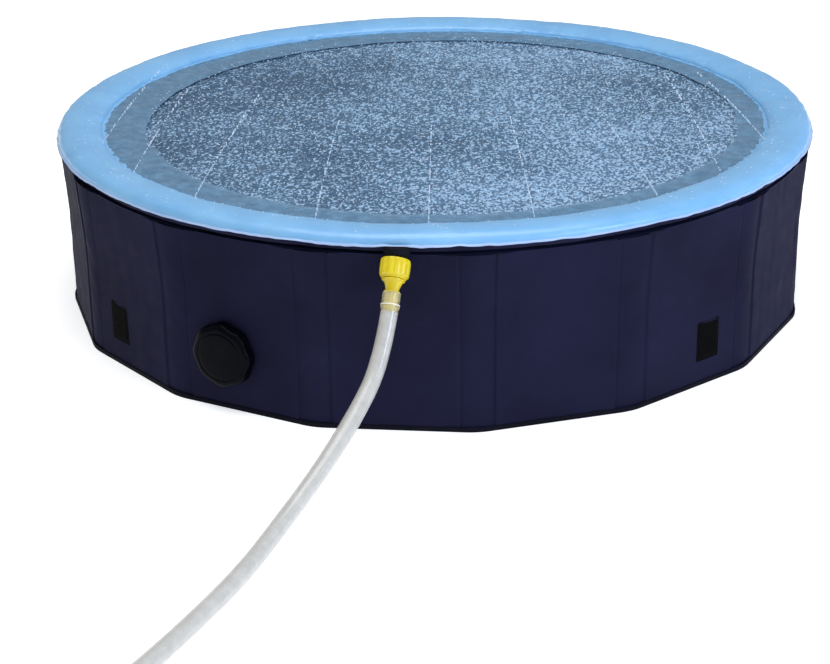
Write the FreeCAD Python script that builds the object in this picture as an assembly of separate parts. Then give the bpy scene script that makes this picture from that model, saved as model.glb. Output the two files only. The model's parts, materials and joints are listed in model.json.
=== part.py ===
import FreeCAD, Part
import math
import os

# Foldable round pet bathtub with a water-filled spray ring on its rim.
# Frame: millimetres, +Z up, origin at the centre of the underside of the base,
# -Y towards the front panel, where the supply hose comes in.

Vec = FreeCAD.Vector

# Tub wall: a many-sided drum of boards held between two skins
PANELS = 16
STEP = 360.0 / PANELS
HALF_STEP = math.radians(STEP / 2)
FRONT = 270.0
POCKET_APOTHEM = 588.5
WALL_TOP = 269.0
SKIN = 0.6
BOARD_THICK = 4.0
BOARD_WIDTH = 177.0
BOARD_LOW = 4.0
BOARD_HIGH = 266.0
HINGE_STRIP = 0.8
PINCH_WIDTH = 7.0
CORNER_RADIUS = 90.0

MID_APOTHEM = POCKET_APOTHEM - BOARD_THICK / 2 - SKIN
POCKET_IN = BOARD_THICK / 2
POCKET_OUT = POCKET_IN + SKIN
BAND_IN = HINGE_STRIP / 2
BAND_OUT = BAND_IN + SKIN
POCKET_HALF = BOARD_WIDTH / 2 + 0.5
BAND_START = POCKET_HALF + PINCH_WIDTH
FLAT_HALF = (MID_APOTHEM - CORNER_RADIUS) * math.tan(HALF_STEP)

# Floor: a non-slip base sheet under a smooth liner, with a welt round the foot
BASE_THICK = 0.8
LINER_THICK = 0.6
FLOOR_TOP = BASE_THICK + LINER_THICK
WELT_WIDTH = 2.0
WELT_TOP = 7.0

# Spray ring: two vinyl films welded at an inner and an outer seam
RING_INNER = 528.0
RING_OUTER = 619.0
SEAM_WIDTH = 7.0
SEAM_Z = 287.0
RING_TOP = 304.0
RING_BOTTOM = 270.0
FILM = 0.5
SPRAY_HOLES = 36
SPRAY_HOLE_R = 0.6
SPRAY_CIRCLE_R = 541.0
COLLAR_INNER = 562.0
COLLAR_OUTER = 600.0
APRON_INNER = 472.0

# Drain: threaded flange through the second panel to the left, closed by a cap
DRAIN_PANEL = FRONT - STEP
DRAIN_ACROSS = 25.0
DRAIN_HEIGHT = 89.0
DRAIN_TUBE_R = 33.0
DRAIN_BORE_R = 28.0
DRAIN_HOLE_R = 33.4
DRAIN_PLATE_R = 45.0
DRAIN_TUBE_IN = -13.0
DRAIN_TUBE_OUT = 17.2
DRAIN_PLATE_TOP = POCKET_OUT + 3.0
GASKET_THICK = 2.0
LOCK_NUT_THICK = 7.0
LOCK_NUT_R = 46.0
LOCK_NUT_SCALLOP_R = 8.0
CAP_SEAL_THICK = 2.0
DRAIN_CAP_R = 49.0
CAP_TOP = 27.0
CAP_SKIRT_END = DRAIN_PLATE_TOP + 0.6
CAP_HOLLOW_INNER_R = 36.0
CAP_HOLLOW_OUTER_R = 45.4
CAP_HOLLOW_TOP = 19.5
CAP_SCALLOP_R = 30.0
CAP_SCALLOP_DEPTH = 2.2
DRAIN_LOBES = 8
THREAD_PLAY = 0.06

# Hook-and-loop patches that hold the folded tub closed
PATCH_WIDTH = 46.0
PATCH_HEIGHT = 63.0
PATCH_THICK = 1.6
PATCH_ACROSS = 35.0
PATCH_CENTRE_Z = 70.0
PATCH_CORNER = 3.0

# Water inlet and hose couplings: distances along the coupling's own axis,
# counted from the ring's surface
INLET_ROOT = Vec(9.0, -607.0, 275.6)
INLET_AXIS = Vec(-0.075, -0.573, -0.816).normalize()
BOOT_START = -7.0
BOOT_FOOT_R = 20.0
BOOT_END_R = 15.5
SPIGOT_START = 2.0
NUT_START = 9.5
THREAD_END = 28.0
WASHER_START = 28.5
WASHER_END = 30.5
TAIL_FLANGE_END = 33.0
LIP_START = 33.5
GRIP_END = 34.5
NUT_END = 37.0
SHOULDER_START = 37.6
SHOULDER_END = 40.0
CONE_END = 54.0
SLEEVE_START = 56.0
SLEEVE_END = 84.0
SPIGOT_R = 13.2
SPIGOT_BORE_R = 9.5
NUT_BORE_R = 13.25
NUT_CHAMBER_R = 14.0
NUT_R = 21.0
NUT_COLLAR_R = 17.5
NUT_FLUTES = 14
FLUTE_R = 4.6
FLUTE_CENTRE_R = 24.4
FLANGE_R = 12.9
TAIL_NECK_R = 10.0
TAIL_SHOULDER_R = 16.0
TAIL_STEM_R = 8.2
TAIL_BORE_R = 6.5
BARB_R = 9.5
BARB_LENGTH = 6.0
BARBS = 4
SLEEVE_R = 12.7
SLEEVE_BORE_R = 9.6

# Supply hose: the points of its route from the inlet coupling to the coil
HOSE_D = 24.0
HOSE_LAY = HOSE_D / 2
HOSE_RUN = [
    INLET_ROOT + INLET_AXIS * SLEEVE_END,
    Vec(-5, -697, 149),
    Vec(-32, -760, 101),
    Vec(-69, -840, 57),
    Vec(-106, -934, 28),
    Vec(-136, -1035, 14),
    Vec(-173, -1150, HOSE_LAY),
    Vec(-213, -1262, HOSE_LAY),
    Vec(-256, -1366, HOSE_LAY),
    Vec(-300, -1462, HOSE_LAY),
]
# The coil starts where the run ends: turns laid on each other, wound
# anticlockwise seen from above
COIL_R = 138.0
COIL_STEPS_PER_TURN = 16
COIL_STEPS = 38
# The hose's free end: distance on from the coil, and height of the centreline
TAIL_RUN = [(60, 57), (125, 43), (188, 28), (240, 21.2), (285, 21.2)]

os.makedirs("parts", exist_ok=True)


def save(name, shape):
    """Write one sub-part, and print what it is."""
    solids = len(shape.Solids)
    print(f"{name:24s} solids {solids:3d} valid {shape.isValid()} volume {shape.Volume / 1000:9.2f} cm3")
    shape.exportStep(f"parts/{name}.step")


def line(a, b):
    return Part.LineSegment(a, b).toShape()


def arc(a, middle, b):
    return Part.Arc(a, middle, b).toShape()


def turned(path):
    """Solid of revolution about Z. A path item is a point (r, z), or a pair of
    points: an arc's middle and its end."""
    start = Vec(path[0][0], 0, path[0][1])
    here = start
    edges = []
    for item in path[1:]:
        if isinstance(item[0], tuple):
            middle = Vec(item[0][0], 0, item[0][1])
            end = Vec(item[1][0], 0, item[1][1])
            edges.append(arc(here, middle, end))
        else:
            end = Vec(item[0], 0, item[1])
            edges.append(line(here, end))
        here = end
    if here.distanceToPoint(start) > 1e-6:
        edges.append(line(here, start))
    face = Part.Face(Part.Wire(edges))
    return face.revolve(Vec(0, 0, 0), Vec(0, 0, 1), 360)


def tube(inner, outer, low, high):
    return turned([(inner, low), (outer, low), (outer, high), (inner, high)])


# ---------------------------------------------------------------- places

def panel_point(facing, across, out, height):
    """Point on the wall: across is clockwise seen from above, out from the
    boards' middle plane."""
    angle = math.radians(facing)
    normal = Vec(math.cos(angle), math.sin(angle), 0)
    sideways = Vec(math.sin(angle), -math.cos(angle), 0)
    return normal * (MID_APOTHEM + out) + sideways * across + Vec(0, 0, height)


def panel_place(facing, across, height):
    """Placement on the wall whose own Z axis points straight out of the panel."""
    angle = math.radians(facing)
    normal = Vec(math.cos(angle), math.sin(angle), 0)
    up = Vec(0, 0, 1)
    turn = FreeCAD.Rotation(up.cross(normal), up, normal, "ZYX")
    return FreeCAD.Placement(panel_point(facing, across, 0, height), turn)


def axis_place(root, axis):
    """Placement whose own Z axis runs along axis from root."""
    return FreeCAD.Placement(root, FreeCAD.Rotation(Vec(0, 0, 1), axis))


def placed(shape, placement):
    copy = shape.copy()
    copy.Placement = placement.multiply(copy.Placement)
    return copy


# ---------------------------------------------------------------- wall and floor

def corner_arc(facing, out, height):
    """Rounded corner on the clockwise side of a panel."""
    start = panel_point(facing, FLAT_HALF, out, height)
    end = panel_point(facing - STEP, -FLAT_HALF, out, height)
    angle = math.radians(facing - STEP / 2)
    reach = (MID_APOTHEM - CORNER_RADIUS) / math.cos(HALF_STEP) + CORNER_RADIUS + out
    middle = Vec(reach * math.cos(angle), reach * math.sin(angle), height)
    return arc(start, middle, end)


def outline(pocket, band, height):
    """Closed outline of the drum: board pockets stand out to pocket, and the
    corner bands between them lie at band."""
    if pocket == band:
        marks = [(-FLAT_HALF, band), (FLAT_HALF, band)]
    else:
        right = [(POCKET_HALF, pocket), (BAND_START, band), (FLAT_HALF, band)]
        marks = [(-across, out) for across, out in reversed(right)] + right
    edges = []
    for index in range(PANELS):
        facing = FRONT - index * STEP
        points = [panel_point(facing, across, out, height) for across, out in marks]
        for a, b in zip(points, points[1:]):
            edges.append(line(a, b))
        edges.append(corner_arc(facing, band, height))
    return Part.Wire(edges)


def drum(outer, inner, low, high):
    """Wall between two outlines, each given as (pocket, band)."""
    wires = [outline(*outer, low), outline(*inner, low)]
    face = Part.makeFace(wires, "Part::FaceMakerBullseye")
    return face.extrude(Vec(0, 0, high - low))


def plate(out, low, high):
    """Flat many-sided sheet."""
    return Part.Face(outline(out, out, low)).extrude(Vec(0, 0, high - low))


def drain_hole():
    """Cutter for the drain's way through the wall."""
    cutter = Part.makeCylinder(DRAIN_HOLE_R, 20, Vec(0, 0, -10))
    return placed(cutter, panel_place(DRAIN_PANEL, DRAIN_ACROSS, DRAIN_HEIGHT))


def floor_parts():
    save("base_sheet", plate(POCKET_OUT + WELT_WIDTH, 0, BASE_THICK))
    save("liner_floor", plate(POCKET_OUT, BASE_THICK, FLOOR_TOP))
    outer = (POCKET_OUT + WELT_WIDTH, POCKET_OUT + WELT_WIDTH)
    inner = (POCKET_OUT, POCKET_OUT)
    save("base_welt", drum(outer, inner, BASE_THICK, WELT_TOP))


def wall_skins():
    outer_skin = drum((POCKET_OUT, BAND_OUT), (POCKET_IN, BAND_IN), FLOOR_TOP, WALL_TOP)
    save("wall_outer_skin", outer_skin.cut(drain_hole()))
    liner = drum((-POCKET_IN, -BAND_IN), (-POCKET_OUT, -BAND_OUT), FLOOR_TOP, WALL_TOP)
    save("wall_liner", liner.cut(drain_hole()))


def wall_boards():
    """Stiff fibreboards, one in each pocket."""
    for index in range(PANELS):
        facing = FRONT - index * STEP
        corners = [
            panel_point(facing, across, out, BOARD_LOW)
            for across, out in (
                (-BOARD_WIDTH / 2, -BOARD_THICK / 2),
                (BOARD_WIDTH / 2, -BOARD_THICK / 2),
                (BOARD_WIDTH / 2, BOARD_THICK / 2),
                (-BOARD_WIDTH / 2, BOARD_THICK / 2),
            )
        ]
        face = Part.Face(Part.makePolygon(corners + corners[:1]))
        board = face.extrude(Vec(0, 0, BOARD_HIGH - BOARD_LOW))
        if facing == DRAIN_PANEL:
            board = board.cut(drain_hole())
        save(f"wall_board_{index + 1:02d}", board)


def corner_hinges():
    """Flexible strips welded between the skins at every corner, on which the
    wall folds."""
    strips = []
    for index in range(PANELS):
        facing = FRONT - index * STEP
        following = facing - STEP
        a = panel_point(facing, BAND_START, BAND_IN, FLOOR_TOP)
        b = panel_point(facing, FLAT_HALF, BAND_IN, FLOOR_TOP)
        c = panel_point(following, -FLAT_HALF, BAND_IN, FLOOR_TOP)
        d = panel_point(following, -BAND_START, BAND_IN, FLOOR_TOP)
        e = panel_point(following, -BAND_START, -BAND_IN, FLOOR_TOP)
        f = panel_point(following, -FLAT_HALF, -BAND_IN, FLOOR_TOP)
        g = panel_point(facing, FLAT_HALF, -BAND_IN, FLOOR_TOP)
        h = panel_point(facing, BAND_START, -BAND_IN, FLOOR_TOP)
        outer = corner_arc(facing, BAND_IN, FLOOR_TOP)
        inner = corner_arc(facing, -BAND_IN, FLOOR_TOP)
        edges = [line(a, b), outer, line(c, d), line(d, e), line(e, f), inner, line(g, h), line(h, a)]
        face = Part.Face(Part.Wire(edges))
        strips.append(face.extrude(Vec(0, 0, WALL_TOP - FLOOR_TOP)))
    save("corner_hinge_strips", Part.makeCompound(strips))


def closure_patches():
    """The two patches that meet when the folded tub is held closed."""
    box = Part.makeBox(PATCH_WIDTH, PATCH_HEIGHT, PATCH_THICK)
    box.translate(Vec(-PATCH_WIDTH / 2, -PATCH_HEIGHT / 2, POCKET_OUT))
    upright = [e for e in box.Edges if abs(e.tangentAt(e.FirstParameter).z) > 0.9]
    patch = box.makeFillet(PATCH_CORNER, upright)
    left = panel_place(FRONT - 2 * STEP, PATCH_ACROSS, PATCH_CENTRE_Z)
    right = panel_place(FRONT + 2 * STEP, -PATCH_ACROSS, PATCH_CENTRE_Z)
    save("closure_loop_patch", placed(patch, left))
    save("closure_hook_patch", placed(patch, right))


# ---------------------------------------------------------------- spray ring

DOME_START = RING_INNER + SEAM_WIDTH
DOME_END = RING_OUTER - SEAM_WIDTH
DOME_MIDDLE = (DOME_START + DOME_END) / 2
FLAT_START = DOME_START + 21
FLAT_END = DOME_END - 14
BELLY_Z = 275.5
INNER_BELLY_R = DOME_START + 6.5
OUTER_BELLY_R = DOME_END - 5.0
CORNER_SLANT = 0.8


def ring_top_path(inset):
    """Upper film's crown, from the inner to the outer seam."""
    start = (DOME_START + CORNER_SLANT * inset, SEAM_Z + FILM - inset)
    middle = (DOME_MIDDLE, RING_TOP - inset)
    end = (DOME_END - CORNER_SLANT * inset, SEAM_Z + FILM - inset)
    return start, middle, end


def ring_bottom_path(inset):
    """Lower film, from the inner to the outer seam, flat where it rests."""
    slant = CORNER_SLANT * inset
    return [
        (DOME_START + inset, SEAM_Z - FILM + inset),
        ((INNER_BELLY_R + slant, BELLY_Z + slant), (FLAT_START, RING_BOTTOM + inset)),
        (FLAT_END, RING_BOTTOM + inset),
        ((OUTER_BELLY_R - slant, BELLY_Z + slant), (DOME_END - inset, SEAM_Z - FILM + inset)),
    ]


def ring_envelope():
    """Everything inside the ring's outer surface."""
    start, middle, end = ring_top_path(0)
    low_start, inner_belly, flat_end, outer_belly = ring_bottom_path(0)
    return turned([start, (middle, end), outer_belly[1], (outer_belly[0], flat_end), inner_belly[1],
                   (inner_belly[0], low_start)])


def inlet_bore(radius, low, high):
    """Cylinder along the inlet's axis."""
    cylinder = Part.makeCylinder(radius, high - low, Vec(0, 0, low))
    return placed(cylinder, axis_place(INLET_ROOT, INLET_AXIS))


def ring_parts():
    start, middle, end = ring_top_path(0)
    in_start, in_middle, in_end = ring_top_path(FILM)
    top = turned([(RING_INNER, SEAM_Z), (RING_INNER, SEAM_Z + FILM), start, (middle, end),
                  (RING_OUTER, SEAM_Z + FILM), (RING_OUTER, SEAM_Z), in_end, (in_middle, in_start)])
    holes = []
    for index in range(SPRAY_HOLES):
        angle = math.radians((index + 0.5) * 360 / SPRAY_HOLES)
        spot = Vec(SPRAY_CIRCLE_R * math.cos(angle), SPRAY_CIRCLE_R * math.sin(angle), SEAM_Z + 1)
        holes.append(Part.makeCylinder(SPRAY_HOLE_R, 12, spot))
    save("ring_top_film", top.cut(Part.makeCompound(holes)))

    outside = ring_bottom_path(0)
    inside = ring_bottom_path(FILM)
    back = [inside[3][1], (inside[3][0], inside[2]), inside[1][1], (inside[1][0], inside[0])]
    bottom = turned([(RING_INNER, SEAM_Z), (RING_INNER, SEAM_Z - FILM)] + outside
                    + [(RING_OUTER, SEAM_Z - FILM), (RING_OUTER, SEAM_Z)] + back)
    save("ring_bottom_film", bottom.cut(inlet_bore(TAIL_BORE_R, BOOT_START, NUT_START)))
    save("splash_apron", tube(APRON_INNER, DOME_START, SEAM_Z - 2 * FILM, SEAM_Z - FILM))
    save("rim_collar", tube(COLLAR_INNER, COLLAR_OUTER, WALL_TOP, RING_BOTTOM))


# ---------------------------------------------------------------- drain

def lobe_spots(reach, offset, height):
    """Points evenly spaced round the drain's axis, one for each lobe."""
    for index in range(DRAIN_LOBES):
        angle = math.radians((index + offset) * 360 / DRAIN_LOBES)
        yield Vec(reach * math.cos(angle), reach * math.sin(angle), height)


def drain_fixed_parts(place):
    """Flange through the wall, and the gasket and lock nut that hold it inside."""
    flange = turned([
        (DRAIN_BORE_R, DRAIN_TUBE_IN), (DRAIN_TUBE_R, DRAIN_TUBE_IN), (DRAIN_TUBE_R, POCKET_OUT),
        (DRAIN_PLATE_R, POCKET_OUT), (DRAIN_PLATE_R, DRAIN_PLATE_TOP), (DRAIN_TUBE_R, DRAIN_PLATE_TOP),
        (DRAIN_TUBE_R, DRAIN_TUBE_OUT), (DRAIN_BORE_R, DRAIN_TUBE_OUT),
    ])
    save("drain_flange", placed(flange, place))

    gasket_in = -POCKET_OUT - GASKET_THICK
    gasket = tube(DRAIN_TUBE_R + 0.1, DRAIN_PLATE_R - 1, gasket_in, -POCKET_OUT)
    save("drain_gasket", placed(gasket, place))

    nut_in = gasket_in - LOCK_NUT_THICK
    nut = tube(DRAIN_TUBE_R + THREAD_PLAY, LOCK_NUT_R, nut_in, gasket_in)
    for spot in lobe_spots(LOCK_NUT_R + LOCK_NUT_SCALLOP_R / 2, 0, nut_in):
        nut = nut.cut(Part.makeCylinder(LOCK_NUT_SCALLOP_R, LOCK_NUT_THICK, spot))
    save("drain_lock_nut", placed(nut, place))


def drain_cap_parts(place):
    """Screw cap with a lobed grip, and the seal ring inside it."""
    seal_top = DRAIN_TUBE_OUT + CAP_SEAL_THICK
    seal = tube(DRAIN_BORE_R + 0.5, DRAIN_TUBE_R - 0.4, DRAIN_TUBE_OUT, seal_top)
    save("drain_cap_seal", placed(seal, place))

    bore = DRAIN_TUBE_R + THREAD_PLAY
    cap = turned([
        (0, seal_top), (bore, seal_top), (bore, CAP_SKIRT_END),
        (CAP_HOLLOW_INNER_R, CAP_SKIRT_END), (CAP_HOLLOW_INNER_R, CAP_HOLLOW_TOP),
        (CAP_HOLLOW_OUTER_R, CAP_HOLLOW_TOP), (CAP_HOLLOW_OUTER_R, CAP_SKIRT_END),
        (DRAIN_CAP_R, CAP_SKIRT_END), (DRAIN_CAP_R, CAP_TOP - 10),
        ((DRAIN_CAP_R - 2, CAP_TOP - 5), (DRAIN_CAP_R - 7, CAP_TOP - 2.5)),
        (DRAIN_CAP_R - 19, CAP_TOP), (0, CAP_TOP),
    ])
    reach = DRAIN_CAP_R + CAP_SCALLOP_R - CAP_SCALLOP_DEPTH
    for spot in lobe_spots(reach, 0.5, CAP_SKIRT_END - 1):
        cap = cap.cut(Part.makeCylinder(CAP_SCALLOP_R, CAP_TOP, spot))
    save("drain_cap", placed(cap, place))


# ---------------------------------------------------------------- hose couplings

def coupling_nut():
    """Fluted union nut that turns on the hose tail."""
    lip_hole = TAIL_NECK_R + 0.3
    body = turned([
        (NUT_BORE_R, NUT_START), (NUT_R - 2.4, NUT_START),
        ((NUT_R - 0.7, NUT_START + 1.1), (NUT_R - 0.2, NUT_START + 3.5)),
        ((NUT_R, NUT_START + 9.5), (NUT_R - 0.4, GRIP_END - 3.5)),
        ((NUT_R - 0.8, GRIP_END - 0.9), (NUT_R - 1.8, GRIP_END)),
        (NUT_COLLAR_R, GRIP_END), (NUT_COLLAR_R, NUT_END), (lip_hole, NUT_END), (lip_hole, LIP_START),
        (NUT_CHAMBER_R, LIP_START), (NUT_CHAMBER_R, THREAD_END), (NUT_BORE_R, THREAD_END),
    ])
    for index in range(NUT_FLUTES):
        angle = math.radians((index + 0.5) * 360 / NUT_FLUTES)
        spot = Vec(FLUTE_CENTRE_R * math.cos(angle), FLUTE_CENTRE_R * math.sin(angle), NUT_START - 1)
        body = body.cut(Part.makeCylinder(FLUTE_R, GRIP_END - NUT_START + 0.2, spot))
    return body


def hose_tail():
    """Hose tail: sealing flange, cone and barbs, with a bore right through."""
    waist = TAIL_STEM_R + 0.6
    cone_middle = (TAIL_SHOULDER_R - 5.6, (SHOULDER_END + CONE_END) / 2 - 1)
    stop = TAIL_STEM_R + 3.3
    stop_start = SLEEVE_START - 1.2
    path = [
        (TAIL_BORE_R, WASHER_END), (FLANGE_R, WASHER_END), (FLANGE_R, TAIL_FLANGE_END),
        (TAIL_NECK_R, TAIL_FLANGE_END), (TAIL_NECK_R, SHOULDER_START), (TAIL_SHOULDER_R, SHOULDER_START),
        (TAIL_SHOULDER_R, SHOULDER_END), (TAIL_SHOULDER_R - 1.4, SHOULDER_END),
        (cone_middle, (waist, CONE_END)),
        (waist, stop_start), (stop, stop_start), (stop, SLEEVE_START), (TAIL_STEM_R, SLEEVE_START),
    ]
    barbs_start = SLEEVE_START + 2
    path.append((TAIL_STEM_R, barbs_start))
    for index in range(BARBS):
        foot = barbs_start + index * BARB_LENGTH
        path += [(BARB_R, foot), (TAIL_STEM_R, foot + BARB_LENGTH)]
    path += [(TAIL_STEM_R, SLEEVE_END - 1), (TAIL_BORE_R, SLEEVE_END - 1)]
    return turned(path)


def coupling(prefix, place):
    """Union nut, sealing washer, hose tail and clamping sleeve."""
    save(f"{prefix}_nut", placed(coupling_nut(), place))
    save(f"{prefix}_washer", placed(tube(SPIGOT_BORE_R, FLANGE_R, WASHER_START, WASHER_END), place))
    save(f"{prefix}_tail", placed(hose_tail(), place))
    save(f"{prefix}_sleeve", placed(tube(SLEEVE_BORE_R, SLEEVE_R, SLEEVE_START, SLEEVE_END), place))


def inlet_parts():
    place = axis_place(INLET_ROOT, INLET_AXIS)
    boot_end = NUT_START - 0.6
    boot = turned([
        (TAIL_BORE_R, BOOT_START), (BOOT_FOOT_R, BOOT_START), (BOOT_FOOT_R - 2, SPIGOT_START + 2),
        ((BOOT_END_R + 1.7, boot_end - 1.9), (BOOT_END_R, boot_end)),
        (SPIGOT_R, boot_end), (SPIGOT_R, SPIGOT_START), (TAIL_BORE_R, SPIGOT_START),
    ])
    boot = placed(boot, place)
    boot = boot.cut(ring_envelope())
    boot = boot.cut(tube(COLLAR_INNER, RING_OUTER + 30, SEAM_Z - FILM, SEAM_Z + 30))
    boot = boot.cut(tube(COLLAR_INNER, COLLAR_OUTER, WALL_TOP, RING_BOTTOM))
    boot = boot.cut(plate(POCKET_OUT, 0, WALL_TOP))
    largest = max(boot.Solids, key=lambda solid: solid.Volume)
    save("inlet_boot", largest)
    save("inlet_spigot", placed(tube(SPIGOT_BORE_R, SPIGOT_R, SPIGOT_START, WASHER_START), place))
    coupling("inlet", place)


# ---------------------------------------------------------------- hose

def rounded_path(points):
    """Straight runs joined by tangent arcs, each as large as its runs allow."""
    edges = []
    length = 0.0
    here = points[0]
    for before, corner, after in zip(points, points[1:], points[2:]):
        back = before - corner
        on = after - corner
        shorter = min(back.Length, on.Length)
        reach = 0.45 * shorter
        turn = math.pi - back.getAngle(on)
        radius = reach / math.tan(turn / 2)
        back.normalize()
        on.normalize()
        start = corner + back * reach
        end = corner + on * reach
        inward = (back + on).normalize()
        middle = corner + inward * (radius / math.cos(turn / 2) - radius)
        edges.append(line(here, start))
        edges.append(arc(start, middle, end))
        length += here.distanceToPoint(start) + radius * turn
        here = end
        print(f"  turn {math.degrees(turn):5.1f} deg, radius {radius:6.0f} mm = {radius / HOSE_D:5.1f} d")
    edges.append(line(here, points[-1]))
    length += here.distanceToPoint(points[-1])
    return Part.Wire(edges), length


def hose_tube(name, points):
    """Round tube along a rounded path."""
    path, length = rounded_path(points)
    direction = points[1] - points[0]
    circle = Part.Wire(Part.Circle(points[0], direction, HOSE_D / 2).toShape())
    tube_shape = path.makePipeShell([circle], True, False)
    section = math.pi * HOSE_D ** 2 / 4
    ratio = tube_shape.Volume / section / length
    print(f"  {name}: length {length:.0f} mm, volume / (section x length) {ratio:.4f}")
    save(name, tube_shape)
    return length


def coil_frame():
    """Centre of the coil, and the angle at which the hose meets it."""
    heading = (HOSE_RUN[-1] - HOSE_RUN[-2]).normalize()
    left = Vec(-heading.y, heading.x, 0)
    centre = HOSE_RUN[-1] + left * COIL_R
    start = math.degrees(math.atan2(-left.y, -left.x))
    return centre, start


def layer(bottom, degrees):
    """One layer of the coil, over an arc of some degrees from +X."""
    profile = Part.makePolygon([
        Vec(COIL_R - HOSE_LAY, 0, bottom), Vec(COIL_R + HOSE_LAY, 0, bottom),
        Vec(COIL_R + HOSE_LAY, 0, bottom + HOSE_D), Vec(COIL_R - HOSE_LAY, 0, bottom + HOSE_D),
        Vec(COIL_R - HOSE_LAY, 0, bottom),
    ])
    return Part.Face(profile).revolve(Vec(0, 0, 0), Vec(0, 0, 1), degrees)


def hose_parts():
    centre, start = coil_frame()
    total = hose_tube("hose_run", HOSE_RUN)

    end_angle = start + COIL_STEPS * 360 / COIL_STEPS_PER_TURN
    lower = layer(0, 360).fuse(layer(HOSE_D, 360)).removeSplitter()
    top_arc = (COIL_STEPS / COIL_STEPS_PER_TURN - 2) * 360
    upper = layer(2 * HOSE_D, top_arc)
    upper.rotate(Vec(0, 0, 0), Vec(0, 0, 1), start)
    coil = lower.fuse(upper)
    coil.translate(Vec(centre.x, centre.y, 0))
    save("hose_coil", coil)
    total += math.radians(COIL_STEPS * 360 / COIL_STEPS_PER_TURN) * COIL_R

    end = math.radians(end_angle)
    heading = Vec(-math.sin(end), math.cos(end), 0)
    leave = Vec(centre.x + COIL_R * math.cos(end), centre.y + COIL_R * math.sin(end), 2.5 * HOSE_D)
    tail = [leave]
    for on, height in TAIL_RUN:
        point = leave + heading * on
        tail.append(Vec(point.x, point.y, height))
    total += hose_tube("hose_tail_run", tail)
    print(f"  hose length {total:.0f} mm, coil centre {centre}, start {start:.1f} deg")
    coupling("tap", axis_place(tail[-1] + heading * SLEEVE_END, -heading))


floor_parts()
wall_skins()
wall_boards()
corner_hinges()
closure_patches()
ring_parts()
drain_place = panel_place(DRAIN_PANEL, DRAIN_ACROSS, DRAIN_HEIGHT)
drain_fixed_parts(drain_place)
drain_cap_parts(drain_place)
inlet_parts()
hose_parts()
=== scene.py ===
import json
import math

import bmesh
import bpy
import numpy as np
from mathutils import Matrix, Quaternion, Vector


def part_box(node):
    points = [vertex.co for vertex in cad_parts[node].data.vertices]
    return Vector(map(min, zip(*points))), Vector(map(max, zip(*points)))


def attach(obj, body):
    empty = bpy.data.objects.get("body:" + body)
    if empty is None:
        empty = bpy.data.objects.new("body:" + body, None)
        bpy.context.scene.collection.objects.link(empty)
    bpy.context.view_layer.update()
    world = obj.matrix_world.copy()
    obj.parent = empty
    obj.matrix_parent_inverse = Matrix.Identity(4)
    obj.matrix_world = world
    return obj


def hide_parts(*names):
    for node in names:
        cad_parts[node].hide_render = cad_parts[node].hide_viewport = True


# Foldable round pet bathtub: board-stiffened navy wall, spray ring on the rim,
# side drain with a screw cap, and a clear supply hose with yellow couplings.
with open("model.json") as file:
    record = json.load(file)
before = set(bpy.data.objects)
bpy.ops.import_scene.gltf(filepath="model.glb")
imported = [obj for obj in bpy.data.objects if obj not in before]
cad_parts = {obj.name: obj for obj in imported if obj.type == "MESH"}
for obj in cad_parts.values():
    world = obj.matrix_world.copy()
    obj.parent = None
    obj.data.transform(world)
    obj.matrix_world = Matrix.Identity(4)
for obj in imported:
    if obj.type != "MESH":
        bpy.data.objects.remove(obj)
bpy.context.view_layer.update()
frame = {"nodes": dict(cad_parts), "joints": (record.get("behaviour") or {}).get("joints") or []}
nodes = frame["nodes"]
MM = 0.001
TURN = 2 * math.pi
UP = Vector((0, 0, 1))
DOWN = -UP

# Wall, read from the frame: the front board faces -Y
PANELS = 16
STEP = TURN / PANELS
FRONT = math.radians(270)
board_low, board_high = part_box("wall_board_01")
MID_APOTHEM = -(board_low.y + board_high.y) / 2
BOARD_HALF = (board_high.y - board_low.y) / 2
SKIN = 0.6 * MM
BAND_HALF = 0.4 * MM
PINCH = 7 * MM
POCKET_EDGE = (board_high.x - board_low.x) / 2 + 0.5 * MM
BAND_EDGE = POCKET_EDGE + PINCH
CORNER_RADIUS = 90 * MM
FLAT_EDGE = (MID_APOTHEM - CORNER_RADIUS) * math.tan(STEP / 2)
WALL_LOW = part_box("wall_outer_skin")[0].z
WALL_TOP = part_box("wall_outer_skin")[1].z
BASE_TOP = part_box("base_sheet")[1].z
FLOOR_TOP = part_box("liner_floor")[1].z
WELT_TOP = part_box("base_welt")[1].z
WELT_WIDTH = 2 * MM
WALL_LEAN = 8 * MM
LEAN_START = 135 * MM
LEAN_SPREAD = 1.6
DRAIN_HOLE = 33.6

# Spray ring
RING_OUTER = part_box("ring_top_film")[1].x - 12 * MM
RING_INNER = 528 * MM
RING_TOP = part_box("ring_top_film")[1].z - 3 * MM
RING_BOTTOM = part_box("ring_bottom_film")[0].z
SEAM_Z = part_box("ring_top_film")[0].z
SEAM_WIDTH = 7 * MM
SEAM_HANG = 3 * MM
FILM = 0.5 * MM
RING_STEPS = 960
SPRAY_HOLES = 36
SPRAY_CIRCLE = 541 * MM
OVER_RING = RING_TOP + 20 * MM
APRON_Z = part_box("splash_apron")[0].z
APRON_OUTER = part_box("splash_apron")[1].x
APRON_INNER = 472 * MM

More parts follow.
